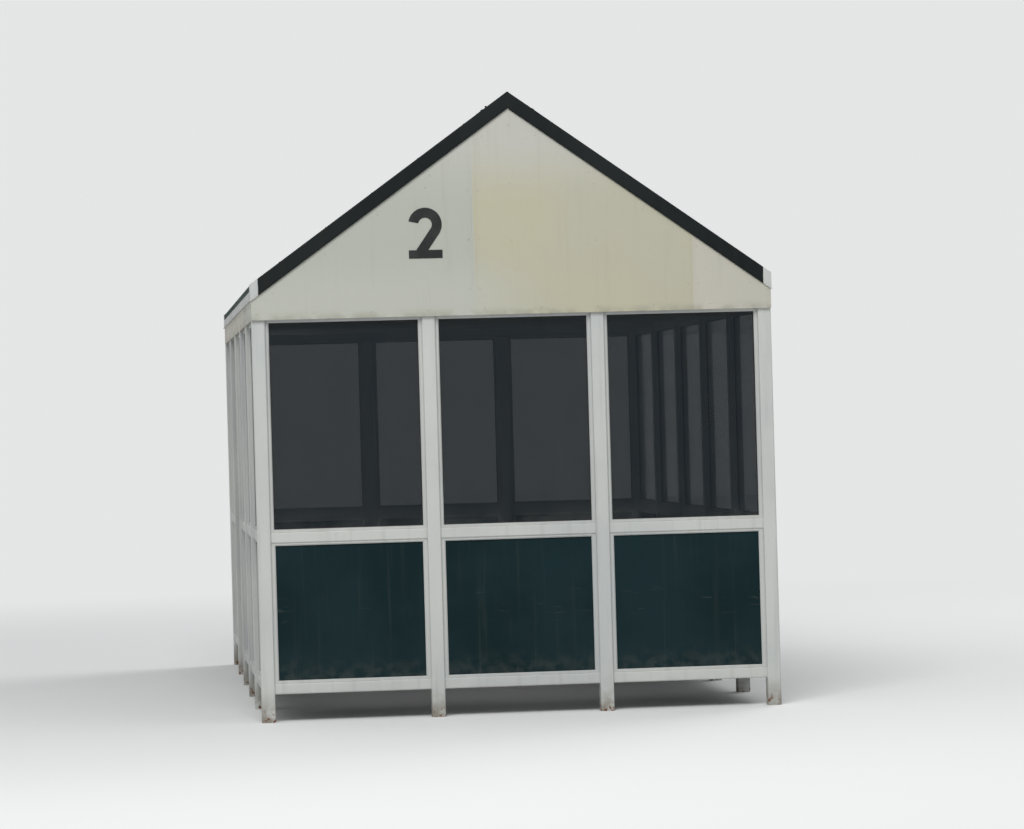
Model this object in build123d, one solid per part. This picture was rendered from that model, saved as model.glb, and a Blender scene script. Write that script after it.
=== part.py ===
from build123d import *
import os
from math import cos, radians, sin, tan

# A glazed platform cabin: posts and rails of square steel tube, glass above green panels, cream
# boarded gables and a ribbed sheet roof. Millimetres, +Z up. The front gable faces -Y, the open
# doorway faces -X, and the origin is on the ground at the middle of the plan.

# Posts and bays
post = 75                # side of a square post
tube_corner = 8          # outside corner radius of the tubes
bay_across = 940         # post to post across the gable
bay_along = 1050         # post to post along the sides
bays_across = 3
bays_along = 5
door_bay = 1             # open bay of the left side, with 0 at the rear corner

# Rails, from the ground up
leg = 154                # open gap under the bottom rails
rail_width = 50          # through the wall
bottom_rail = 60         # depth of the bottom rails
dado = 772               # from the bottom rails up to the mid rails
mid_rail = 60            # depth of the mid rails
glazing = 1169           # from the mid rails up to the boards

# Panels and glass
panel_stile = 25         # cream stile beside a panel
panel_bead = 15          # cream bead above and below a panel
panel_thickness = 10
glass_stile = 20         # cream bead beside a pane
glass_bead = 15          # cream bead above and below a pane
glass_thickness = 6
rebate = 8               # how far a panel or pane reaches into its frame
frame_depth = 36         # through the wall
splay = 6                # slope on the inner edges of the beads

# Beams and boards at the head of the walls
beam_width = 50
beam_depth = 75
board = 18               # thickness of the gable boards and fascias
tie = 50                 # side of the square cross ties
tie_edge = 4             # eased edge of a cross tie
stud = 40                # side of the square studs behind the gable boards

# Roof
pitch = 35.5             # degrees
rafter_width = 40
rafter_depth = 60
rafter_seat = 30         # level bearing of a rafter on its eaves beam
ridge_width = 40
ridge_depth = 110
purlin_width = 50
purlin_depth = 40
purlins = 4              # on each slope
sheet = 3                # thickness of the roof sheets
rib_height = 25
rib_foot = 42
rib_crown = 24
rib_pitch = 250
trim = 3                 # folded metal of the verge, eaves and ridge
verge_drop = 6           # verge below the rafters' top line
verge_width = 90         # verge over the roof sheet
verge_stop = 45          # from the end of a verge to the corner of the eaves trim
drip = 8                 # lip turned out at the foot of the verge and eaves trims
ridge_wing = 150         # ridge cap each side of the ridge, on plan
ridge_hem = 14           # edge of the ridge cap folded back on itself
ridge_sleeve = 120       # sleeve over the joint of the ridge cap
hem_thickness = 2
trim_gap = 2             # between the two verges at the ridge, and at their lower ends

# Lines worked out from the sizes above
side_x = bays_across * bay_across / 2
end_y = bays_along * bay_along / 2
face_x = side_x + post / 2
face_y = end_y + post / 2
gable_y = face_y + board
trim_x = face_x + trim
trim_y = gable_y + trim
beam_x = face_x - board
bottom_top = leg + bottom_rail
mid_low = bottom_top + dado
mid_top = mid_low + mid_rail
head = mid_top + glazing
beam_top = head + beam_depth
slope = radians(pitch)
eaves_z = beam_top + rafter_depth / cos(slope) - (board + rafter_seat) * tan(slope)
rib_top = purlin_depth + sheet + rib_height
ridge_top = eaves_z + (face_x - ridge_width / 2) * tan(slope)
ridge_low = ridge_top - ridge_depth
across = [(i - (bays_across - 1) / 2) * bay_across for i in range(bays_across)]
along = [(i - (bays_along - 1) / 2) * bay_along for i in range(bays_along)]
post_x = [(i - bays_across / 2) * bay_across for i in range(1, bays_across)]
post_y = [(i - bays_along / 2) * bay_along for i in range(1, bays_along)]
walls = {
    "front": (Location((0, -end_y, 0)), across, bay_across),
    "rear": (Location((0, end_y, 0), (0, 0, 180)), across, bay_across),
    "left": (Location((-side_x, 0, 0), (0, 0, -90)),
             [u for i, u in enumerate(along) if i != door_bay], bay_along),
    "right": (Location((side_x, 0, 0), (0, 0, 90)), along, bay_along),
}


def roof_z(x, rise=0):
    """Height of the roof at x, rise measured square to the slope from the rafters' top line."""
    return eaves_z + (face_x - abs(x)) * tan(slope) + rise / cos(slope)


def block(x1, x2, y1, y2, z1, z2):
    """A box from corner to corner."""
    return Pos(x1, y1, z1) * Box(x2 - x1, y2 - y1, z2 - z1, align=(Align.MIN,) * 3)


def tube(x1, x2, y1, y2, z1, z2, axis):
    """A square or oblong tube with rounded long edges."""
    bar = block(x1, x2, y1, y2, z1, z2)
    return fillet(bar.edges().filter_by(axis), tube_corner)


def upright(outline, y1, y2):
    """An outline in X and Z, carried from y1 to y2."""
    face = make_face(Polyline(*outline, close=True))
    return Pos(0, y2, 0) * Rot(90, 0, 0) * extrude(face, amount=y2 - y1, dir=(0, 0, 1))


def band(x1, x2, low, high, y1, y2):
    """A strip that follows the right-hand slope, with plumb ends."""
    outline = [(x1, roof_z(x1, low)), (x2, roof_z(x2, low)),
               (x2, roof_z(x2, high)), (x1, roof_z(x1, high))]
    return upright(outline, y1, y2)


def other_side(shape):
    return mirror(shape, about=Plane.YZ)


def other_end(shape):
    return mirror(shape, about=Plane.XZ)


def save(name, *shapes):
    export_step(Compound(children=list(shapes)), f"parts/{name}.step")


# Posts
def posts():
    def at(x, y):
        half = post / 2
        return tube(x - half, x + half, y - half, y + half, 0, head, Axis.Z)

    save("corner_posts", *[at(x, y) for x in (-side_x, side_x) for y in (-end_y, end_y)])
    save("front_posts", *[at(x, -end_y) for x in post_x])
    save("rear_posts", *[at(x, end_y) for x in post_x])
    save("left_posts", *[at(-side_x, y) for y in post_y])
    save("right_posts", *[at(side_x, y) for y in post_y])


# Rails, frames, panels and glass of one wall. Here the wall runs along X and its outside faces -Y.
def rail(width, low, depth):
    half = rail_width / 2
    return tube(-width / 2, width / 2, -half, half, low, low + depth, Axis.X)


def sheet_in_frame(width, low, height, stile, bead, thickness):
    """A panel or pane, and the grooved frame that holds its edges."""
    edge = rebate
    pane = block(-width / 2 + stile - edge, width / 2 - stile + edge, -thickness / 2, thickness / 2,
                 low + bead - edge, low + height - bead + edge)
    deep = frame_depth / 2
    ring = block(-width / 2, width / 2, -deep, deep, low, low + height)
    ring -= block(-width / 2 + stile, width / 2 - stile, -deep, deep, low + bead, low + height - bead)
    rims = [rim for face in ring.faces().filter_by(Axis.Y) for rim in face.inner_wires()[0].edges()]
    return pane, ring.chamfer(splay, None, rims) - pane


def wall(name):
    place, centres, bay = walls[name]
    clear = bay - post
    panel, panel_frame = sheet_in_frame(clear, bottom_top, dado, panel_stile, panel_bead, panel_thickness)
    pane, pane_frame = sheet_in_frame(clear, mid_top, glazing, glass_stile, glass_bead, glass_thickness)
    pieces = {
        "bottom_rails": [rail(clear, leg, bottom_rail)],
        "mid_rails": [rail(clear, mid_low, mid_rail)],
        "panels": [panel],
        "glass": [pane],
        "frames": [panel_frame, pane_frame],
    }
    for kind, group in pieces.items():
        save(f"{name}_{kind}", *[place * Pos(u, 0, 0) * piece for u in centres for piece in group])


# Beams on the posts, and the ties between them
def beams():
    inner = beam_x - beam_width
    eaves = tube(inner, beam_x, -face_y, face_y, head, beam_top, Axis.Y)
    gable = tube(-inner, inner, -face_y, -face_y + beam_width, head, beam_top, Axis.X)
    save("eaves_beam_right", eaves)
    save("eaves_beam_left", other_side(eaves))
    save("gable_beam_front", gable)
    save("gable_beam_rear", other_end(gable))
    ties = []
    for y in post_y:
        bar = block(-inner, inner, y - tie / 2, y + tie / 2, beam_top - tie, beam_top)
        ties.append(chamfer(bar.edges().filter_by(Axis.X), tie_edge))
    save("cross_ties", *ties)


# Studs that carry the gable boards: a king post, and one in line with each post below
def gable_studs():
    half = stud / 2
    studs = [upright([(-half, beam_top), (half, beam_top), (half, ridge_low), (-half, ridge_low)],
                     -face_y, -face_y + stud)]
    for x in post_x:
        outline = [(x - half, beam_top), (x + half, beam_top),
                   (x + half, roof_z(x + half, -rafter_depth)), (x - half, roof_z(x - half, -rafter_depth))]
        studs.append(upright(outline, -face_y, -face_y + stud))
    save("gable_studs", *studs, *[other_end(s) for s in studs])


# Rafters, ridge beam and purlins
def roof_frame():
    beam = block(beam_x - beam_width, beam_x, -face_y, face_y, head, beam_top)
    ends = face_y - rafter_width / 2
    rafters = []
    for y in [-ends, *post_y, ends]:
        rafter = band(ridge_width / 2, beam_x, -rafter_depth, 0, y - rafter_width / 2, y + rafter_width / 2)
        rafters.append(rafter - beam)
    save("rafters_right", *rafters)
    save("rafters_left", *[other_side(r) for r in rafters])
    save("ridge_beam", block(-ridge_width / 2, ridge_width / 2, -face_y, face_y, ridge_low, ridge_top))

    half = purlin_width / 2
    first = purlin_width
    last = beam_x - purlin_width
    step = (last - first) / (purlins - 1)
    lines = []
    for i in range(purlins):
        x = first + i * step
        turned = Rot(0, pitch, 0) * block(-half, half, -face_y, face_y, 0, purlin_depth)
        lines.append(Pos(x, 0, roof_z(x)) * turned)
    save("purlins_right", *lines)
    save("purlins_left", *[other_side(p) for p in lines])


# Roof sheets with pressed ribs, as one profile carried down the slope and cut plumb at the eaves
def roof_sheets():
    ribs = int((2 * gable_y - rib_foot) / rib_pitch) + 1
    under = [(-gable_y, purlin_depth)]
    for i in range(ribs):
        y = (i - (ribs - 1) / 2) * rib_pitch
        under += [(y - rib_foot / 2, purlin_depth), (y - rib_crown / 2, rib_top - sheet),
                  (y + rib_crown / 2, rib_top - sheet), (y + rib_foot / 2, purlin_depth)]
    under.append((gable_y, purlin_depth))
    over = [(y, n + sheet) for y, n in reversed(under)]
    down = Plane(origin=(0, 0, roof_z(0)), x_dir=(0, 1, 0), z_dir=(cos(slope), 0, -sin(slope)))
    profile = make_face(Polyline(*under, *over, close=True))
    right = down * extrude(profile, amount=trim_x / cos(slope), dir=(0, 0, 1))
    right -= block(trim_x, trim_x + rib_top, -gable_y, gable_y, 0, roof_z(0))
    save("roof_sheet_right", right)
    save("roof_sheet_left", other_side(right))


# Gable boards and side fascias
def boards():
    outline = [(-face_x, head), (face_x, head), (face_x, roof_z(face_x, purlin_depth)),
               (0, roof_z(0, purlin_depth)), (-face_x, roof_z(face_x, purlin_depth))]
    gable = upright(outline, -gable_y, -face_y)
    save("gable_board_front", gable)
    save("gable_board_rear", other_end(gable))
    fascia = upright([(beam_x, head), (face_x, head), (face_x, roof_z(face_x, purlin_depth)),
                      (beam_x, roof_z(beam_x, purlin_depth))], -face_y, face_y)
    save("side_fascias", fascia, other_side(fascia))


# Folded metal at the verges, the eaves and the ridge
def gable_edge(x1, x2, lap_x):
    """The front gable's edge from x1 to x2: a face with a drip, lapped over the sheet from lap_x."""
    face = band(x1, x2, -verge_drop, rib_top, -trim_y, -gable_y)
    lip = band(x1, x2, -verge_drop, trim - verge_drop, -trim_y - drip, -trim_y)
    lap = band(lap_x, x2, rib_top, rib_top + trim, -trim_y, -gable_y + verge_width)
    return face + lip + lap


def verges():
    right = gable_edge(trim_gap / 2, trim_x - verge_stop, ridge_wing)
    save("verge_trim_front", right, other_side(right))
    save("verge_trim_rear", other_end(right), other_end(other_side(right)))


def eaves():
    low = roof_z(face_x, -verge_drop)
    outline = [(face_x, low), (trim_x + drip, low), (trim_x + drip, low + trim), (trim_x, low + trim),
               (trim_x, roof_z(trim_x, purlin_depth)), (face_x, roof_z(face_x, purlin_depth))]
    start = trim_x - verge_stop + trim_gap
    corner = gable_edge(start, trim_x, start)
    right = upright(outline, -gable_y, gable_y) + corner + other_end(corner)
    save("eaves_trims", right, other_side(right))


def ridge():
    def wings(low, high, length):
        x = ridge_wing
        outline = [(-x, roof_z(x, low)), (0, roof_z(0, low)), (x, roof_z(x, low)),
                   (x, roof_z(x, high)), (0, roof_z(0, high)), (-x, roof_z(x, high))]
        return upright(outline, -length / 2, length / 2)

    top = rib_top + trim
    cap = wings(rib_top, top, 2 * trim_y)
    sleeve = wings(top, top + hem_thickness, ridge_sleeve)
    hem = band(ridge_wing - ridge_hem, ridge_wing, top, top + hem_thickness, -trim_y, trim_y)
    save("ridge_cap", cap + sleeve + hem + other_side(hem))


os.makedirs("parts", exist_ok=True)
posts()
for side in walls:
    wall(side)
beams()
gable_studs()
roof_frame()
roof_sheets()
boards()
verges()
eaves()
ridge()
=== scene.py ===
from math import cos, pi, radians, sin, tan

import bmesh
import bpy
from bmesh.types import BMEdge, BMVert
from mathutils import Matrix, Vector


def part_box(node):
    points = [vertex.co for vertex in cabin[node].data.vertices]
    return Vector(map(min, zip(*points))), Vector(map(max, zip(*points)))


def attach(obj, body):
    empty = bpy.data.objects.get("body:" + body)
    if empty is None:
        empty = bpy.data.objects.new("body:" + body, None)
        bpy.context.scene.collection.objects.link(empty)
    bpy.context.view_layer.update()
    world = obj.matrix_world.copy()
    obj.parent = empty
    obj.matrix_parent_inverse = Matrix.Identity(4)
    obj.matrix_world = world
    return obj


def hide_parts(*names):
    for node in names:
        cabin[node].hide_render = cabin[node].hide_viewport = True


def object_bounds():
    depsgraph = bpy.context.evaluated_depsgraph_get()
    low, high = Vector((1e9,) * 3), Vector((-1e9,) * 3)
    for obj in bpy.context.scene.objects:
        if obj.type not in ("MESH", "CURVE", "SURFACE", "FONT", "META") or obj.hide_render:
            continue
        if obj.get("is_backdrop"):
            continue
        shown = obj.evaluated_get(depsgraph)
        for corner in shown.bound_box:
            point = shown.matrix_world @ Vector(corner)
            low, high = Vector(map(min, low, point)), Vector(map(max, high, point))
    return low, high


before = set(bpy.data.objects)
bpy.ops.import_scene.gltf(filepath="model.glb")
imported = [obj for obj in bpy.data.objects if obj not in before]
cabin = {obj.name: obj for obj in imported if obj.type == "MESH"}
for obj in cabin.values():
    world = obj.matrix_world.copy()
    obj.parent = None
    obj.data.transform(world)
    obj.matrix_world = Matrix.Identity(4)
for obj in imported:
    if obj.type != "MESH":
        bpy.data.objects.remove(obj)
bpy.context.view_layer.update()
scene = bpy.context.scene
scene.view_settings.view_transform = "Standard"

# The view is from eye height, about 21 m off and to the left of the front gable. It has the
# photograph's slight lean, so the posts tilt a little.
eye = Vector((-2.16, -23.35, 1.61))
aim = Vector((-0.02, -2.66, 1.66))
lean = radians(-1.6)
camera_data = bpy.data.cameras.new("camera")
camera_data.lens = 132
camera_data.sensor_width = 36
camera_data.clip_end = 200
camera = bpy.data.objects.new("camera", camera_data)
scene.collection.objects.link(camera)
camera.location = eye
camera.rotation_mode = "QUATERNION"
camera.rotation_quaternion = (aim - eye).to_track_quat("-Z", "Y")
camera.rotation_quaternion = camera.rotation_quaternion @ Matrix.Rotation(lean, 3, "Z").to_quaternion()
scene.camera = camera

# A plain pale floor that fades into a background of one pale colour, so that no horizon shows. The
# background is seen by the camera, in reflections and through glass, and adds no light.
backdrop = (0.78, 0.79, 0.79, 1)
floor_colour = (0.80, 0.80, 0.79, 1)
floor_reach = 60
fade_from = 4.5
fade_to = 15


def node(tree, kind, **settings):
    made = tree.nodes.new(kind)
    for key, value in settings.items():
        setattr(made, key, value)
    return made


def calculated(tree, operation, first, second):
    """The result of one sum on two sockets or numbers."""
    made = node(tree, "ShaderNodeMath", operation=operation)
    for socket, value in zip(made.inputs, (first, second)):
        if isinstance(value, (int, float)):
            socket.default_value = value
        else:
            tree.links.new(value, socket)
    return made.outputs["Value"]


def step(tree, value, low, high, top=1):
    """From 0 at low to top at high, with a smooth rise between."""
    made = node(tree, "ShaderNodeMapRange", interpolation_type="SMOOTHSTEP")
    made.inputs["From Min"].default_value = low
    made.inputs["From Max"].default_value = high
    made.inputs["To Max"].default_value = top
    tree.links.new(value, made.inputs["Value"])
    return made.outputs["Result"]


def seen_directly(tree):
    """1 for what the camera, a reflection or a pane shows, and 0 for light on the object."""
    path = node(tree, "ShaderNodeLightPath")
    shown = calculated(tree, "MAXIMUM", path.outputs["Is Camera Ray"], path.outputs["Is Glossy Ray"])
    return calculated(tree, "MAXIMUM", shown, path.outputs["Is Transmission Ray"])


def finish(name, rough, gloss):
    """A material with one plain shader, and the place on the object for its patterns."""
    material = bpy.data.materials.new(name)
    material.use_nodes = True
    tree = material.node_tree
    tree.nodes.clear()
    shader = node(tree, "ShaderNodeBsdfPrincipled")
    shader.inputs["Roughness"].default_value = rough
    shader.inputs["Specular IOR Level"].default_value = gloss
    surface = node(tree, "ShaderNodeOutputMaterial")
    tree.links.new(shader.outputs["BSDF"], surface.inputs["Surface"])
    place = node(tree, "ShaderNodeTexCoord").outputs["Object"]
    return material, tree, shader, place


def pale_floor():
    material, tree, shader, place = finish("pale_floor", rough=0.9, gloss=0.1)
    shader.inputs["Base Color"].default_value = floor_colour
    glow = node(tree, "ShaderNodeEmission")
    glow.inputs["Color"].default_value = backdrop
    distance = node(tree, "ShaderNodeVectorMath", operation="LENGTH")
    tree.links.new(place, distance.inputs[0])
    fade = step(tree, distance.outputs["Value"], fade_from, fade_to)
    both = node(tree, "ShaderNodeMixShader")
    tree.links.new(calculated(tree, "MULTIPLY", fade, seen_directly(tree)), both.inputs["Fac"])
    tree.links.new(shader.outputs["BSDF"], both.inputs[1])
    tree.links.new(glow.outputs["Emission"], both.inputs[2])
    surface = next(n for n in tree.nodes if n.type == "OUTPUT_MATERIAL")
    tree.links.new(both.outputs["Shader"], surface.inputs["Surface"])
    return material


floor_shape = bmesh.new()
bmesh.ops.create_circle(floor_shape, cap_ends=True, segments=64, radius=floor_reach)
floor_mesh = bpy.data.meshes.new("floor")
floor_shape.to_mesh(floor_mesh)
floor_shape.free()
floor_mesh.materials.append(pale_floor())
floor = bpy.data.objects.new("floor", floor_mesh)
scene.collection.objects.link(floor)
floor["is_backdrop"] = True

# Soft light: an even sky, one broad lamp high in front and to the left, and a weaker one behind on
# the right. A pale surface renders about as it is written.
sky_colour = (0.94, 0.97, 1, 1)
sky_strength = 0.5
world = bpy.data.worlds.new("studio")
scene.world = world
world.use_nodes = True
sky = world.node_tree
sky.nodes.clear()
even = node(sky, "ShaderNodeBackground")
even.inputs["Color"].default_value = sky_colour
even.inputs["Strength"].default_value = sky_strength
pale = node(sky, "ShaderNodeBackground")
pale.inputs["Color"].default_value = backdrop
chosen = node(sky, "ShaderNodeMixShader")
sky.links.new(seen_directly(sky), chosen.inputs["Fac"])
sky.links.new(even.outputs["Background"], chosen.inputs[1])
sky.links.new(pale.outputs["Background"], chosen.inputs[2])
sky_surface = node(sky, "ShaderNodeOutputWorld")
sky.links.new(chosen.outputs["Shader"], sky_surface.inputs["Surface"])


def soft_lamp(name, place, target, size, watts):
    data = bpy.data.lights.new(name, "AREA")
    data.size = size
    data.energy = watts
    lamp = bpy.data.objects.new(name, data)
    scene.collection.objects.link(lamp)
    lamp.location = place
    lamp.rotation_mode = "QUATERNION"
    lamp.rotation_quaternion = (Vector(target) - Vector(place)).to_track_quat("-Z", "Y")


cabin_middle = (0, 0, 1.5)
soft_lamp("key", place=(-3.5, -15, 14), target=cabin_middle, size=9, watts=2150)
soft_lamp("fill", place=(10, 9, 11), target=cabin_middle, size=8, watts=800)

# Steel frame: posts and rails of square tube, welded into walls and painted cream. Each rail end has
# a fillet weld round it. Rain has left faint streaks, and the feet are splashed and rusting.
cream = (0.50, 0.51, 0.482, 1)
cream_faded = (0.44, 0.455, 0.445, 1)
rain_grey = (0.27, 0.275, 0.25, 1)
splash = (0.20, 0.18, 0.145, 1)
rust = (0.13, 0.045, 0.018, 1)
dust = (0.30, 0.29, 0.25, 1)
weld = 0.005
weld_skin = 0.0005
weld_corner = 0.009
splash_height = 0.26
rust_height = 0.09
paint_gloss = 0.35
merge = 0.00002


def pattern(tree, place, scale, detail=4, stretch=(1, 1, 1)):
    """Cloudy noise over the object, with so many clouds a metre along each axis."""
    sized = node(tree, "ShaderNodeMapping")
    sized.inputs["Scale"].default_value = stretch
    tree.links.new(place, sized.inputs["Vector"])
    clouds = node(tree, "ShaderNodeTexNoise")
    clouds.inputs["Scale"].default_value = scale
    clouds.inputs["Detail"].default_value = detail
    tree.links.new(sized.outputs["Vector"], clouds.inputs["Vector"])
    return clouds.outputs["Fac"]


def along(tree, vector, axis):
    parts = node(tree, "ShaderNodeSeparateXYZ")
    tree.links.new(vector, parts.inputs["Vector"])
    return parts.outputs[axis]


def over(tree, amount, under, upper):
    """One colour laid over another by an amount from 0 to 1."""
    mixed = node(tree, "ShaderNodeMix", data_type="RGBA")
    tree.links.new(amount, mixed.inputs["Factor"])
    for socket, colour in ((mixed.inputs[6], under), (mixed.inputs[7], upper)):
        if isinstance(colour, tuple):
            socket.default_value = colour
        else:
            tree.links.new(colour, socket)
    return mixed.outputs[2]


def product(tree, first, *others):
    for other in others:
        first = calculated(tree, "MULTIPLY", first, other)
    return first


def patchy(tree, place, scale, extra, rough):
    """A roughness that rises by up to extra in cloudy patches."""
    return calculated(tree, "ADD", step(tree, pattern(tree, place, scale), 0.3, 0.7, extra), rough)


def upward(tree, low, high):
    """From 0 to 1 as a surface turns to the sky, with the Z of its normal from low to high."""
    return step(tree, along(tree, node(tree, "ShaderNodeNewGeometry").outputs["Normal"], "Z"), low, high)


def relief(tree, shader, height, depth):
    """Bumps of a depth in metres."""
    bump = node(tree, "ShaderNodeBump")
    bump.inputs["Distance"].default_value = depth
    tree.links.new(height, bump.inputs["Height"])
    tree.links.new(bump.outputs["Normal"], shader.inputs["Normal"])


def weathered_paint(name, fresh, faded, rough):
    """Brushed paint on steel: patchy, streaked by rain, dusty on top, splashed and rusty at the feet."""
    material, tree, shader, place = finish(name, rough, paint_gloss)
    height = along(tree, place, "Z")
    colour = over(tree, step(tree, pattern(tree, place, 1.3), 0.38, 0.64), fresh, faded)
    streaks = step(tree, pattern(tree, place, 26, 3, (1, 1, 0.045)), 0.50, 0.74, 0.22)
    colour = over(tree, streaks, colour, rain_grey)
    specks = step(tree, pattern(tree, place, 140, 2), 0.66, 0.72, 0.35)
    colour = over(tree, specks, colour, rain_grey)
    settled = product(tree, upward(tree, 0.55, 0.95), step(tree, pattern(tree, place, 18), 0.3, 0.6, 0.8))
    colour = over(tree, settled, colour, dust)
    low = step(tree, height, splash_height, 0)
    wet = product(tree, low, low, step(tree, pattern(tree, place, 11), 0.3, 0.62, 0.9))
    colour = over(tree, wet, colour, splash)
    chips = step(tree, pattern(tree, place, 45, 5), 0.56, 0.60)
    colour = over(tree, product(tree, chips, step(tree, height, rust_height, 0.01)), colour, rust)
    tree.links.new(colour, shader.inputs["Base Color"])
    worn = patchy(tree, place, 6, 0.22, rough)
    tree.links.new(calculated(tree, "ADD", worn, product(tree, wet, 0.3)), shader.inputs["Roughness"])
    relief(tree, shader, pattern(tree, place, 260, 3, (1, 1, 0.35)), 0.0004)
    return material


def coat(material, *names):
    """The finish of CAD nodes."""
    for name in names:
        cabin[name].data.materials.clear()
        cabin[name].data.materials.append(material)


def merged(name):
    """A copy of a CAD node's shape with its doubled vertices merged."""
    shape = bmesh.new()
    shape.from_mesh(cabin[name].data)
    bmesh.ops.remove_doubles(shape, verts=shape.verts, dist=merge)
    return shape


def solids(name):
    """The lowest and highest corner of each solid in a CAD node, in order."""
    shape = merged(name)
    left = set(shape.verts)
    boxes = []
    while left:
        found = [left.pop()]
        for vertex in found:
            for edge in vertex.link_edges:
                other = edge.other_vert(vertex)
                if other in left:
                    left.remove(other)
                    found.append(other)
        low = Vector([min(v.co[i] for v in found) for i in range(3)])
        high = Vector([max(v.co[i] for v in found) for i in range(3)])
        boxes.append((low, high))
    shape.free()
    return sorted(boxes, key=lambda box: [round(c, 4) for c in box[0]])


def add_copies(whole, shape, places):
    """Adds the shape to another at each place, and frees it."""
    mesh = bpy.data.meshes.new("copied")
    shape.to_mesh(mesh)
    shape.free()
    for place in places:
        copy = mesh.copy()
        copy.transform(place)
        whole.from_mesh(copy)
        bpy.data.meshes.remove(copy)
    bpy.data.meshes.remove(mesh)


def piece(name, shape, material, crease=radians(35), flat=()):
    """A finished shape as a piece of the cabin. Edges turned by more than the crease stay sharp."""
    bmesh.ops.recalc_face_normals(shape, faces=shape.faces)
    for face in shape.faces:
        face.smooth = face not in flat
    for edge in shape.edges:
        edge.smooth = edge.calc_face_angle(pi) < crease
    mesh = bpy.data.meshes.new(name)
    shape.to_mesh(mesh)
    shape.free()
    if "custom_normal" in mesh.attributes:
        mesh.attributes.remove(mesh.attributes["custom_normal"])
    mesh.materials.append(material)
    made = bpy.data.objects.new(name, mesh)
    scene.collection.objects.link(made)
    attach(made, "root")
    return made


def rounded(shape, edges, radius, segments, clamp=False):
    """Rounds edges, by less than the radius where a clamp is asked for and room is short."""
    bmesh.ops.bevel(shape, geom=edges, offset=radius, segments=segments, profile=0.5, affect="EDGES",
                    material=-1, clamp_overlap=clamp)


def weld_collar(width, depth):
    """A weld round a rail end. It sits on the post at X 0 and narrows along +X."""
    collar = bmesh.new()
    bmesh.ops.create_cube(collar, size=1)
    bmesh.ops.scale(collar, vec=(weld, width + 2 * weld, depth + 2 * weld), verts=collar.verts)
    tip = [v for v in collar.verts if v.co.x > 0]
    shrink = [(size + 2 * weld_skin) / (size + 2 * weld) for size in (width, depth)]
    bmesh.ops.scale(collar, vec=(1, *shrink), verts=tip)
    ridges = [e for e in collar.edges if abs(e.verts[0].co.x - e.verts[1].co.x) > weld / 2]
    rounded(collar, ridges, weld_corner, 3)
    bmesh.ops.translate(collar, vec=(weld / 2, 0, 0), verts=collar.verts)
    return collar


def rail_ends(low, high):
    """The place of each end of a level bar, with X pointing along the bar."""
    centre = (low + high) / 2
    size = high - low
    if size.x > size.y:
        ends = ((low.x, centre.y, 0), (high.x, centre.y, pi))
    else:
        ends = ((centre.x, low.y, pi / 2), (centre.x, high.y, -pi / 2))
    return [Matrix.Translation((x, y, centre.z)) @ Matrix.Rotation(turn, 4, "Z") for x, y, turn in ends]


steel_paint = weathered_paint("steel_paint", cream, cream_faded, 0.40)
walls = ("front", "rear", "left", "right")
coat(steel_paint, "corner_posts", *[f"{wall}_posts" for wall in walls])
coat(steel_paint, *[f"{wall}_bottom_rails" for wall in walls], *[f"{wall}_mid_rails" for wall in walls])
coat(steel_paint, "eaves_beam_left", "eaves_beam_right", "gable_beam_front", "gable_beam_rear",
     "cross_ties", "gable_studs")
welds = bmesh.new()
for rails in [f"{wall}_{kind}_rails" for wall in walls for kind in ("bottom", "mid")]:
    for low, high in solids(rails):
        size = high - low
        add_copies(welds, weld_collar(min(size.x, size.y), size.z), rail_ends(low, high))
piece("rail_welds", welds, steel_paint)

# Dado panels: flat sheets of steel-faced board in dark green satin, held in a groove all round.
# Feet and rain have splashed the lower edge, and passing bags have scuffed the middle.
panel_green = (0.0028, 0.0140, 0.0165, 1)
panel_faded = (0.0060, 0.0200, 0.0240, 1)
panel_dust = (0.060, 0.066, 0.060, 1)
panel_rough = 0.36
panel_gloss = 0.10
panel_foot = 0.20
mud_height = 0.24
scuff_height = 0.62
scuff_below = 0.16
scuff_above = 0.14


def panel_paint():
    material, tree, shader, place = finish("panel_paint", panel_rough, panel_gloss)
    height = along(tree, place, "Z")
    colour = over(tree, step(tree, pattern(tree, place, 2.2), 0.35, 0.66), panel_green, panel_faded)
    runs = step(tree, pattern(tree, place, 34, 3, (1, 1, 0.04)), 0.56, 0.80, 0.16)
    colour = over(tree, runs, colour, panel_dust)
    low = step(tree, height, panel_foot + mud_height, panel_foot)
    mud = product(tree, low, low, step(tree, pattern(tree, place, 16, 5), 0.36, 0.66, 0.45))
    colour = over(tree, mud, colour, panel_dust)
    near = product(tree, step(tree, height, scuff_height - scuff_below, scuff_height),
                   step(tree, height, scuff_height + scuff_above, scuff_height))
    scratches = step(tree, pattern(tree, place, 60, 2, (0.12, 0.12, 1)), 0.64, 0.72, 0.35)
    colour = over(tree, product(tree, near, scratches), colour, panel_dust)
    tree.links.new(colour, shader.inputs["Base Color"])
    worn = patchy(tree, place, 9, 0.16, panel_rough)
    tree.links.new(calculated(tree, "ADD", worn, product(tree, mud, 0.35)), shader.inputs["Roughness"])
    relief(tree, shader, pattern(tree, place, 3.5, 2), 0.002)
    return material


coat(panel_paint(), *[f"{wall}_panels" for wall in walls])

# Bead frames: cream painted frames that hold the panels and the glass in the bays. They are screwed
# on through both faces with small pan-head screws, painted over with the frame.
bead_cream = (0.485, 0.495, 0.47, 1)
bead_faded = (0.425, 0.44, 0.435, 1)
frame_depth = 0.036
screw_radius = 0.0032
screw_height = 0.0015
screw_dome = 0.62
screw_spacing = 0.28
screw_inset = 0.0048
level_margin = 0.06
plumb_margin = 0.14


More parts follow.
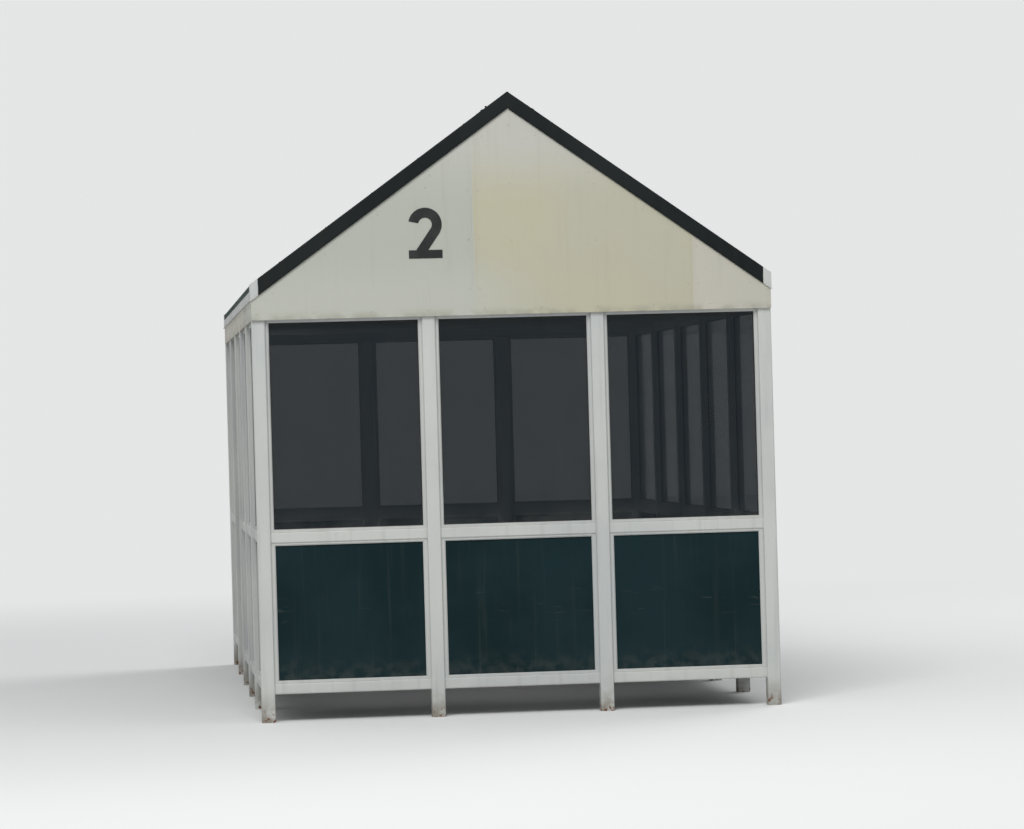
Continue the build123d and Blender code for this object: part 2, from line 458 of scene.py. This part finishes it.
def domed_screw(radius, height):
    """A low round head that stands on Y 0 and faces -Y."""
    head = bmesh.new()
    bmesh.ops.create_cone(head, cap_ends=True, segments=10, radius1=radius, radius2=radius * screw_dome,
                          depth=height)
    bmesh.ops.rotate(head, cent=(0, 0, 0), matrix=Matrix.Rotation(pi / 2, 3, "X"), verts=head.verts)
    bmesh.ops.translate(head, vec=(0, -height / 2, 0), verts=head.verts)
    return head


def two_faces(low, high, depth):
    """For a frame or pane in a wall: its width, its height and the place of the middle of each face."""
    size = high - low
    turn = 0 if size.x > size.y else pi / 2
    centre = Matrix.Translation((low + high) / 2)
    places = [centre @ Matrix.Rotation(turn + half, 4, "Z") @ Matrix.Translation((0, -depth / 2, 0))
              for half in (0, pi)]
    return max(size.x, size.y), size.z, places


def spread(length, spacing, margin):
    """Places along a line, evenly spaced, with a margin at each end."""
    gaps = max(1, round((length - 2 * margin) / spacing))
    return [-length / 2 + margin + (length - 2 * margin) * i / gaps for i in range(gaps + 1)]


bead_paint = weathered_paint("bead_paint", bead_cream, bead_faded, 0.46)
coat(bead_paint, *[f"{wall}_frames" for wall in walls])
bead_screws = bmesh.new()
screw_places = []
for wall in walls:
    for low, high in solids(f"{wall}_frames"):
        width, height, faces = two_faces(low, high, frame_depth)
        level = [(x, z * (height / 2 - screw_inset)) for x in spread(width, screw_spacing, level_margin)
                 for z in (-1, 1)]
        plumb = [(x * (width / 2 - screw_inset), z) for z in spread(height, screw_spacing, plumb_margin)
                 for x in (-1, 1)]
        screw_places += [face @ Matrix.Translation((x, 0, z)) for face in faces for x, z in level + plumb]
add_copies(bead_screws, domed_screw(screw_radius, screw_height), screw_places)
piece("bead_screws", bead_screws, bead_paint)

# Glass: one pane to a bay, which shows the frame of the far walls. Its grey tint is painted shade,
# which darkens the panes to stand in for the dark inside and background seen through clear glass.
# Black rubber strip is pressed in round it on both faces. It is dusty at its foot and has dried runs
# of rain.
# The dark tint, laid over the view at the cover amount, is painted shade for the dark inside.
glass_shade_tint = (0.004, 0.010, 0.014, 1)
glass_dust = (0.24, 0.25, 0.235, 1)
glass_cover = 0.57
glass_rough = 0.03
glass_gloss = 0.22
glass_thick = 0.006
dusty_foot = 0.13
rebate = 0.008
rubber_black = (0.010, 0.010, 0.011, 1)
rubber_grey = (0.035, 0.036, 0.034, 1)
strip_width = 0.0045
strip_proud = 0.004
strip_slope = 0.6


def shade_tinted_glass():
    material, tree, shader, place = finish("shade_tinted_glass", glass_rough, glass_gloss)
    bottom = solids("front_glass")[0][0].z + rebate
    height = along(tree, place, "Z")
    edge = step(tree, height, bottom + dusty_foot, bottom)
    cloudy = step(tree, pattern(tree, place, 7, 5), 0.35, 0.7)
    low = product(tree, edge, edge, cloudy, 0.14)
    runs = step(tree, pattern(tree, place, 42, 3, (1, 1, 0.03)), 0.58, 0.80, 0.05)
    film = calculated(tree, "ADD", low, calculated(tree, "ADD", runs, product(tree, cloudy, 0.012)))
    # Painted shade: the dark tint stands for the shaded inside seen through the pane, with dust over it.
    tree.links.new(over(tree, film, glass_shade_tint, glass_dust), shader.inputs["Base Color"])
    dulled = calculated(tree, "ADD", product(tree, film, 0.6), glass_rough)
    tree.links.new(dulled, shader.inputs["Roughness"])
    covered = calculated(tree, "ADD", product(tree, film, 0.25), glass_cover)
    tree.links.new(covered, shader.inputs["Alpha"])
    return material


def black_rubber():
    material, tree, shader, place = finish("black_rubber", rough=0.7, gloss=0.25)
    grey = step(tree, pattern(tree, place, 30), 0.35, 0.7, 0.6)
    tree.links.new(over(tree, grey, rubber_black, rubber_grey), shader.inputs["Base Color"])
    relief(tree, shader, pattern(tree, place, 300), 0.0002)
    return material


def only(kind, geometry):
    """What an operator made of one kind, such as its vertices."""
    return [item for item in geometry if isinstance(item, kind)]


def drawn_out(shape, faces, depth):
    """Draws faces out to a depth towards -Y, closed behind, and gives the vertices in front."""
    made = bmesh.ops.extrude_face_region(shape, geom=faces)
    front = only(BMVert, made["geom"])
    bmesh.ops.translate(shape, vec=(0, -depth, 0), verts=front)
    return front


def pressed_strip(width, height):
    """A rectangular ring of rubber that stands on Y 0 and faces -Y, with a sloped inner edge."""
    ring = bmesh.new()
    bmesh.ops.create_grid(ring, x_segments=1, y_segments=1, size=0.5)
    bmesh.ops.scale(ring, vec=(width, height, 1), verts=ring.verts)
    bmesh.ops.rotate(ring, cent=(0, 0, 0), matrix=Matrix.Rotation(pi / 2, 3, "X"), verts=ring.verts)
    field = ring.faces[:]
    inset = bmesh.ops.inset_region(ring, faces=field, thickness=strip_width, use_even_offset=True,
                                   use_boundary=True)
    bmesh.ops.delete(ring, geom=field, context="FACES")
    front = drawn_out(ring, inset["faces"], strip_proud)
    inner = [v for v in front if abs(v.co.x) < width / 2 - strip_width / 2]
    bmesh.ops.translate(ring, vec=(0, strip_proud * strip_slope, 0), verts=inner)
    return ring


coat(shade_tinted_glass(), *[f"{wall}_glass" for wall in walls])
strips = bmesh.new()
for wall in walls:
    for low, high in solids(f"{wall}_glass"):
        width, height, faces = two_faces(low, high, glass_thick)
        add_copies(strips, pressed_strip(width - 2 * rebate, height - 2 * rebate), faces)
piece("glazing_strips", strips, black_rubber())

# Gable boards: painted sheets 1.22 m wide, screwed to the beam and the studs, with a thin strip over
# each butt joint. They have weathered to different creams, bleached at the top and washed at the foot.
board_cream = (0.385, 0.398, 0.350, 1)
board_warm = (0.428, 0.405, 0.298, 1)
board_pink = (0.475, 0.446, 0.378, 1)
board_bleached = (0.446, 0.444, 0.405, 1)
board_washed = (0.440, 0.443, 0.392, 1)
board_stain = (0.27, 0.265, 0.205, 1)
board_rough = 0.42
board_gloss = 0.3
joints = (-0.208, 1.012)
joint_gap = 0.0016
fascia_joint = 1.575
bleach_start = 0.60
bleach_end = 0.20
wash_start = 0.40
wash_end = 0.10
wash_side = 0.3
algae_height = 0.07
cover_width = 0.018
cover_proud = 0.0016
board_edge = 0.0015
board_screw_radius = 0.006
board_screw_height = 0.0022
board_screw_spacing = 0.30
foot_row = 0.035
foot_margin = 0.03
stud_margin = 0.09
verge_row = 0.045
verge_margin = 0.12
joint_row = 0.028
joint_screws = (0.15, 0.42, 0.69)
joint_margin = 0.06
pitch = radians(35.5)
purlin_depth = 0.040
verge_low = -0.006
board_low, board_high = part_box("gable_board_front")
board_face = board_low.y
both_ways = (Matrix.Identity(4), Matrix.Rotation(pi, 4, "Z"))


def roof_z(x, rise):
    """Height of the roof at x, rise measured square to the slope from the rafters' top line."""
    return board_high.z - abs(x) * tan(pitch) + (rise - purlin_depth) / cos(pitch)


def board_paint():
    """Cream that changes at each joint, with X mirrored on the rear gable, whose boards are turned."""
    material, tree, shader, place = finish("board_paint", board_rough, board_gloss)
    half_gap = joint_gap / 2
    front = step(tree, along(tree, place, "Y"), half_gap - fascia_joint, -half_gap - fascia_joint, 2)
    side = product(tree, along(tree, place, "X"), calculated(tree, "SUBTRACT", front, 1))
    height = along(tree, place, "Z")
    colour = board_cream
    for joint, cream_beyond in zip(joints, (board_warm, board_pink)):
        beyond = step(tree, side, joint - half_gap, joint + half_gap)
        colour = over(tree, beyond, colour, cream_beyond)
    patches = step(tree, pattern(tree, place, 1.6, 5), 0.40, 0.68, 0.35)
    colour = over(tree, patches, colour, board_cream)
    bleached = step(tree, height, board_high.z - bleach_start, board_high.z - bleach_end, 0.9)
    colour = over(tree, bleached, colour, board_bleached)
    washed = product(tree, step(tree, height, board_low.z + wash_start, board_low.z + wash_end, 0.7),
                     step(tree, side, wash_side, -wash_side))
    colour = over(tree, washed, colour, board_washed)
    runs = step(tree, pattern(tree, place, 30, 4, (1, 1, 0.05)), 0.54, 0.80, 0.15)
    colour = over(tree, runs, colour, board_stain)
    low = step(tree, height, board_low.z + algae_height, board_low.z)
    algae = product(tree, low, low, step(tree, pattern(tree, place, 14, 5), 0.35, 0.62, 0.6))
    colour = over(tree, algae, colour, board_stain)
    specks = step(tree, pattern(tree, place, 90, 2), 0.68, 0.73, 0.25)
    colour = over(tree, specks, colour, board_stain)
    tree.links.new(colour, shader.inputs["Base Color"])
    tree.links.new(patchy(tree, place, 5, 0.2, board_rough), shader.inputs["Roughness"])
    relief(tree, shader, pattern(tree, place, 180, 3, (1, 1, 0.3)), 0.0005)
    return material


def broad_faces(shape, width):
    """The faces that are wider than an eased edge, and so stay flat."""
    return {f for f in shape.faces if f.calc_area() > width * max(e.calc_length() for e in f.edges)}


def whole_sided(name):
    """A copy of a CAD node's shape with each flat side as one face."""
    shape = merged(name)
    bmesh.ops.dissolve_limit(shape, angle_limit=radians(1), verts=shape.verts, edges=shape.edges)
    return shape


def dressed(name, material, edge):
    """A copy of a CAD node with its sharp edges eased, which stands for the node."""
    shape = whole_sided(name)
    sharp = [e for e in shape.edges if e.calc_face_angle(0) > radians(25)]
    rounded(shape, sharp, edge, 2, clamp=True)
    made = piece(name + "_dressed", shape, material, flat=broad_faces(shape, edge))
    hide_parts(name)


def sawn(shape, point, outward):
    """The shape cut through at a point, without what lies outward of it, and closed again."""
    cut = bmesh.ops.bisect_plane(shape, geom=shape.verts[:] + shape.edges[:] + shape.faces[:],
                                 plane_co=point, plane_no=outward, clear_outer=True)
    bmesh.ops.contextual_create(shape, geom=only(BMEdge, cut["geom_cut"]))
    return shape


def cover_strip(x):
    """A strip up the front gable at x, cut to the slope of the verge at its top."""
    strip = bmesh.new()
    bmesh.ops.create_cube(strip, size=1)
    top = roof_z(abs(x) - cover_width / 2, verge_low)
    bmesh.ops.scale(strip, vec=(cover_width, cover_proud, top - board_low.z), verts=strip.verts)
    centre = (x, board_face - cover_proud / 2, (top + board_low.z) / 2)
    bmesh.ops.translate(strip, vec=centre, verts=strip.verts)
    side = 1 if x > 0 else -1
    return sawn(strip, (x, 0, roof_z(x, verge_low)), (side * sin(pitch), 0, cos(pitch)))


def board_fixings():
    """Screw places on the front gable: along the foot, up each stud, along each verge, by each joint."""
    foot = [(x, board_low.z + foot_row)
            for x in spread(2 * board_high.x, board_screw_spacing, foot_margin)]
    studs = []
    for low, high in solids("gable_studs"):
        if low.y < 0:
            x = (low.x + high.x) / 2
            rise = roof_z(x, verge_low) - board_low.z
            rows = spread(rise, board_screw_spacing, stud_margin)[1:]
            studs += [(x, board_low.z + rise / 2 + z) for z in rows]
    verges = [(x, roof_z(x, verge_low) - verge_row)
              for x in spread(2 * board_high.x, board_screw_spacing, verge_margin)]
    beside = [(joint + side, board_low.z + z) for joint in joints for side in (-joint_row, joint_row)
              for z in joint_screws if board_low.z + z < roof_z(joint, verge_low) - joint_margin]
    return foot + studs + verges + beside


gable_paint = board_paint()
for end in ("front", "rear"):
    dressed(f"gable_board_{end}", gable_paint, board_edge)
board_trim = bmesh.new()
for joint in joints:
    add_copies(board_trim, cover_strip(joint), both_ways)
fixings = [Matrix.Translation((x, board_face, z)) for x, z in board_fixings()]
add_copies(board_trim, domed_screw(board_screw_radius, board_screw_height),
           [turned @ place for turned in both_ways for place in fixings])
piece("board_strips_and_screws", board_trim, gable_paint)

# The number: a plain figure 2 cut from black sheet and stuck to the front gable, left of the middle.
# Its bowl is an arc, with a straight leg down to a flat foot.
figure_height = 0.280
figure_width = 0.186
figure_stroke = 0.055
figure_base = 0.046
figure_thick = 0.0024
figure_centre = -0.476
figure_foot = 2.535
bowl_start = radians(168)
bowl_end = radians(-35)
bowl_steps = 26
figure_black = (0.009, 0.009, 0.010, 1)
figure_faded = (0.020, 0.020, 0.021, 1)


def figure_two():
    radius = (figure_width - figure_stroke) / 2
    bowl = Vector((0, 0, figure_height - figure_width / 2))
    figure = bmesh.new()
    outward = Vector((cos(bowl_start), 0, sin(bowl_start)))
    ends = [figure.verts.new(bowl + outward * (radius + side * figure_stroke / 2)) for side in (-1, 1)]
    edge = figure.edges.new(ends)
    turned = bmesh.ops.spin(figure, geom=[*ends, edge], cent=bowl, axis=(0, 1, 0), dvec=(0, 0, 0),
                            angle=bowl_start - bowl_end, steps=bowl_steps, use_duplicate=False)
    leg = bmesh.ops.extrude_edge_only(figure, edges=only(BMEdge, turned["geom_last"]))
    down = Vector((sin(bowl_end), 0, -cos(bowl_end)))
    bmesh.ops.translate(figure, vec=down * figure_height, verts=only(BMVert, leg["geom"]))
    bmesh.ops.bisect_plane(figure, geom=figure.verts[:] + figure.edges[:] + figure.faces[:],
                           plane_co=(0, 0, figure_base), plane_no=(0, 0, -1), clear_outer=True)
    half = figure_width / 2
    corners = [(-half, 0, 0), (half, 0, 0), (half, 0, figure_base), (-half, 0, figure_base)]
    cut = sorted((v for v in figure.verts if v.co.z < figure_base + merge), key=lambda v: -v.co.x)
    outline = [figure.verts.new(c) for c in corners[:3]] + cut + [figure.verts.new(corners[3])]
    figure.faces.new(outline)
    drawn_out(figure, figure.faces[:], figure_thick)
    bmesh.ops.translate(figure, vec=(figure_centre, board_face, figure_foot), verts=figure.verts)
    return figure


def black_sheet():
    material, tree, shader, place = finish("black_sheet", rough=0.45, gloss=0.3)
    faded = step(tree, pattern(tree, place, 12), 0.35, 0.7)
    tree.links.new(over(tree, faded, figure_black, figure_faded), shader.inputs["Base Color"])
    relief(tree, shader, pattern(tree, place, 220), 0.0002)
    return material


piece("number", figure_two(), black_sheet(), crease=radians(20))

# Side fascias: boards of the same painted sheet along the eaves, flush with the posts, in lengths
# that meet behind a strip in line with a post.
fascia_low, fascia_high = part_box("side_fascias")
fascia_foot = fascia_low.z
fascia_top = roof_z(fascia_high.x, verge_low)
fascia_inset = 0.022
fascia_margin = 0.04


def on_side(side, x, y, z):
    """A place on the side wall that faces +X or -X, with -Y pointing out of it."""
    return Matrix.Translation((side * x, y, z)) @ Matrix.Rotation(side * pi / 2, 4, "Z")


def flat_strap(width, thick, foot, top):
    """A level-ended strap that stands on Y 0 and faces -Y."""
    strap = bmesh.new()
    bmesh.ops.create_cube(strap, size=1)
    bmesh.ops.scale(strap, vec=(width, thick, top - foot), verts=strap.verts)
    bmesh.ops.translate(strap, vec=(0, -thick / 2, (foot + top) / 2), verts=strap.verts)
    return strap


dressed("side_fascias", gable_paint, board_edge)
fascia_trim = bmesh.new()
add_copies(fascia_trim, flat_strap(2 * cover_width, cover_proud, fascia_foot, fascia_top),
           [on_side(side, fascia_high.x, y, 0) for side in (-1, 1) for y in (-fascia_joint, fascia_joint)])
add_copies(fascia_trim, domed_screw(board_screw_radius, board_screw_height),
           [on_side(side, fascia_high.x, y, z) for side in (-1, 1)
            for y in spread(2 * fascia_high.y, board_screw_spacing, fascia_margin)
            for z in (fascia_foot + fascia_inset, fascia_top - fascia_inset)])
piece("fascia_strips_and_screws", fascia_trim, gable_paint)

# Roof frame: rafters, a ridge beam and purlins of steel tube, in the same cream paint as the walls.
# The rafters sit on the eaves beams and meet the ridge beam, and the purlins lie on the rafters.
coat(steel_paint, "rafters_left", "rafters_right", "ridge_beam", "purlins_left", "purlins_right")

# Roof sheets: ribbed steel with a dark green coating, grey on its underside. Screws with washers
# hold the sheets to each purlin below the ridge cap, one in the valley beside each rib.
roof_green = (0.020, 0.036, 0.032, 1)
roof_chalk = (0.045, 0.062, 0.056, 1)
roof_grime = (0.010, 0.012, 0.010, 1)
lichen = (0.12, 0.125, 0.095, 1)
back_coat = (0.40, 0.41, 0.40, 1)
coating_gloss = 0.16
rib_radius = 0.003
rib_pitch = 0.250
shortest_bend = 1
sheet = 0.003
ribs = 22
rib_lines = [(i - (ribs - 1) / 2) * rib_pitch for i in range(ribs)]
valley_top = purlin_depth + sheet
roof_screw_side = 0.045
roof_screw_radius = 0.0055
roof_screw_height = 0.006
washer_radius = 0.0095
washer_height = 0.0022


def on_slope(x, y, rise):
    """A place on the right slope, with X down the slope and Z square to it."""
    turned = Matrix.Translation((x, y, roof_z(x, 0))) @ Matrix.Rotation(pitch, 4, "Y")
    return turned @ Matrix.Translation((0, 0, rise))


def coated_steel(name, fresh, chalk, rough, slope_runs):
    """Factory coating on steel, chalky in patches, with dark runs down the slope and some lichen."""
    material, tree, shader, place = finish(name, rough, coating_gloss)
    colour = over(tree, step(tree, pattern(tree, place, 1.1, 5), 0.36, 0.66), fresh, chalk)
    runs = step(tree, pattern(tree, place, 24, 4, slope_runs), 0.48, 0.76, 0.6)
    colour = over(tree, runs, colour, roof_grime)
    spots = product(tree, step(tree, pattern(tree, place, 55, 3), 0.64, 0.70),
                    step(tree, pattern(tree, place, 3.2, 3), 0.50, 0.64, 0.6))
    colour = over(tree, product(tree, spots, upward(tree, 0.2, 0.5)), colour, lichen)
    tree.links.new(colour, shader.inputs["Base Color"])
    tree.links.new(patchy(tree, place, 4, 0.2, rough), shader.inputs["Roughness"])
    relief(tree, shader, pattern(tree, place, 420, 3), 0.0003)
    return material, tree, shader, colour


def roof_coating():
    """The green coating, with the grey back coat on whatever faces down."""
    material, tree, shader, colour = coated_steel("roof_coating", roof_green, roof_chalk, 0.42,
                                                  (0.05, 1, 0.05))
    under = upward(tree, -0.2, -0.4)
    tree.links.new(over(tree, under, colour, back_coat), shader.inputs["Base Color"])
    return material


def rolled_sheet(name, material):
    """A roof sheet whose ribs have rolled bends instead of sharp ones, which stands for the node."""
    shape = whole_sided(name)
    bends = [e for e in shape.edges
             if e.calc_length() > shortest_bend and e.calc_face_angle(0) > radians(15)
             and all(f.calc_area() / e.calc_length() > 2 * sheet for f in e.link_faces)]
    rounded(shape, bends, rib_radius, 3, clamp=True)
    made = piece(name + "_rolled", shape, material, flat=broad_faces(shape, rib_radius))
    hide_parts(name)


def roof_screw():
    """A hexagon head on a round washer, standing on Z 0."""
    screw = bmesh.new()
    for sides, wide, top, low, tall in ((12, washer_radius, 0.8, 0, washer_height),
                                        (6, roof_screw_radius, 0.85, washer_height, roof_screw_height)):
        made = bmesh.ops.create_cone(screw, cap_ends=True, segments=sides, radius1=wide, radius2=wide * top,
                                     depth=tall)
        bmesh.ops.translate(screw, vec=(0, 0, low + tall / 2), verts=made["verts"])
    return screw


roof_finish = roof_coating()
for name in ("roof_sheet_left", "roof_sheet_right"):
    rolled_sheet(name, roof_finish)
purlin_lines = [(low.x + high.x) / 2 for low, high in solids("purlins_right")]
screws = bmesh.new()
beside_ribs = [on_slope(x, y + roof_screw_side, valley_top) for x in purlin_lines[1:] for y in rib_lines]
add_copies(screws, roof_screw(), [turned @ place for turned in both_ways for place in beside_ribs])
piece("roof_screws", screws, roof_finish)

# Foam blocks: closed-cell foam pressed under each rib at the eaves, and on each valley under the
# edge of the ridge cap, to keep out birds and driven rain.
foam_black = (0.010, 0.010, 0.010, 1)
foam_grey = (0.030, 0.030, 0.029, 1)
rib_foot = 0.042
rib_crown = 0.024
rib_rise = 0.025
block_gap = 0.0006
block_length = 0.09
block_inset = 0.006
valley_plug_length = 0.025
cap_line = 0.112
sheet_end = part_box("roof_sheet_right")[1].x


def foam_block(wide, narrow, height, length):
    """A tapered block with its wide side down on Z 0, its length along X."""
    block = bmesh.new()
    bmesh.ops.create_cube(block, size=1)
    bmesh.ops.scale(block, vec=(length, wide, height), verts=block.verts)
    upper = [v for v in block.verts if v.co.z > 0]
    bmesh.ops.scale(block, vec=(1, narrow / wide, 1), verts=upper)
    bmesh.ops.translate(block, vec=(0, 0, height / 2), verts=block.verts)
    return block


def foam():
    material, tree, shader, place = finish("closed_foam", rough=0.9, gloss=0.2)
    cells = step(tree, pattern(tree, place, 240, 2), 0.4, 0.6)
    tree.links.new(over(tree, cells, foam_black, foam_grey), shader.inputs["Base Color"])
    relief(tree, shader, cells, 0.0006)
    return material


rib_plug = foam_block(rib_foot - 2 * block_gap, rib_crown - 2 * block_gap, rib_rise - block_gap,
                      block_length)
bmesh.ops.transform(rib_plug, matrix=on_slope(sheet_end - block_length / 2, 0, purlin_depth),
                    verts=rib_plug.verts)
sawn(rib_plug, (sheet_end - block_inset, 0, 0), (1, 0, 0))
valley_plug = foam_block(rib_pitch - rib_foot - 2 * block_gap, rib_pitch - rib_crown - 2 * block_gap,
                         rib_rise - block_gap, valley_plug_length)
valley_lines = [(a + b) / 2 for a, b in zip(rib_lines, rib_lines[1:])]
blocks = bmesh.new()
add_copies(blocks, rib_plug, [turned @ Matrix.Translation((0, y, 0)) for turned in both_ways
                              for y in rib_lines])
add_copies(blocks, valley_plug, [turned @ on_slope(cap_line, y, valley_top) for turned in both_ways
                                 for y in valley_lines])
piece("foam_blocks", blocks, foam())

# Eaves trims: folded steel painted with the frame, which covers the tops of the fascias and turns
# round each corner to meet the verge. Straps cover the joints, and riveted plates close the corners.
trim = 0.003
trim_edge = 0.0008
rib_top = valley_top + rib_rise
strap_width = 0.060
strap_thick = 0.0012
strap_foot = fascia_top + trim
strap_top = roof_z(sheet_end, purlin_depth)
rivet_radius = 0.005
rivet_height = 0.0022
end_rivets = (0.012, 0.034)
corner_plate = 0.093
corner_middle = trim - board_face - corner_plate / 2
corner_rivets = (-0.03, 0, 0.03)
corner_rivet_rise = 0.02


def over_rib(x, y):
    """A place on a trim that lies over the ribs, x across the cabin on either side."""
    return on_slope(x - rib_top * sin(pitch), y, rib_top + trim)


def rivet():
    """A low round head that stands on Z 0."""
    head = domed_screw(rivet_radius, rivet_height)
    bmesh.ops.rotate(head, cent=(0, 0, 0), matrix=Matrix.Rotation(-pi / 2, 3, "X"), verts=head.verts)
    return head


dressed("eaves_trims", steel_paint, trim_edge)
end_ribs = (rib_lines[0], rib_lines[-1])
straps = bmesh.new()
add_copies(straps, flat_strap(strap_width, strap_thick, strap_foot, strap_top),
           [on_side(side, sheet_end, y, 0) for side in (-1, 1) for y in (-fascia_joint, 0, fascia_joint)])
corner_lines = [end * (corner_middle + apart) for end in (-1, 1) for apart in corner_rivets]
add_copies(straps, flat_strap(corner_plate, strap_thick, strap_foot, roof_z(sheet_end, rib_top + trim)),
           [on_side(side, sheet_end, end * corner_middle, 0) for side in (-1, 1) for end in (-1, 1)])
add_copies(straps, domed_screw(rivet_radius, rivet_height),
           [on_side(side, sheet_end + strap_thick, y, strap_foot + corner_rivet_rise) for side in (-1, 1)
            for y in corner_lines])
add_copies(straps, rivet(), [turned @ over_rib(sheet_end - trim - back, y) for turned in both_ways
                             for back in end_rivets for y in end_ribs])
piece("eaves_straps_and_rivets", straps, steel_paint)

# Verges and ridge: folded steel in a near-black green. Rivets hold the verges to the end ribs, a
# thin plate covers their joint at each apex, and the ridge cap is screwed to every rib.
trim_green = (0.0036, 0.0060, 0.0063, 1)
trim_chalk = (0.0075, 0.011, 0.0115, 1)
verge_start = 0.24
rivet_spacing = 0.26
verge_rivets = 5
verge_face = board_face - trim
plate_half = 0.021
plate_thick = 0.0012


def apex_plate():
    """A thin plate on the front gable that follows both slopes, above the drip of the verges."""
    plate = bmesh.new()
    low = verge_low + trim
    outline = [(x, roof_z(x, low)) for x in (-plate_half, 0, plate_half)]
    outline += [(x, roof_z(x, rib_top)) for x in (plate_half, 0, -plate_half)]
    back = plate.faces.new([plate.verts.new((x, verge_face, z)) for x, z in outline])
    drawn_out(plate, [back], plate_thick)
    return plate


trim_finish = coated_steel("trim_coating", trim_green, trim_chalk, 0.40, (1, 1, 0.08))[0]
for name in ("verge_trim_front", "verge_trim_rear", "ridge_cap"):
    dressed(name, trim_finish, trim_edge)
verge_x = [verge_start + rivet_spacing * i for i in range(verge_rivets)]
fastenings = bmesh.new()
add_copies(fastenings, rivet(), [turned @ over_rib(x, y) for turned in both_ways for x in verge_x
                                 for y in end_ribs])
add_copies(fastenings, roof_screw(), [turned @ over_rib(cap_line, y) for turned in both_ways
                                      for y in rib_lines])
add_copies(fastenings, apex_plate(), both_ways)
piece("apex_plates_and_fixings", fastenings, trim_finish)

low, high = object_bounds()
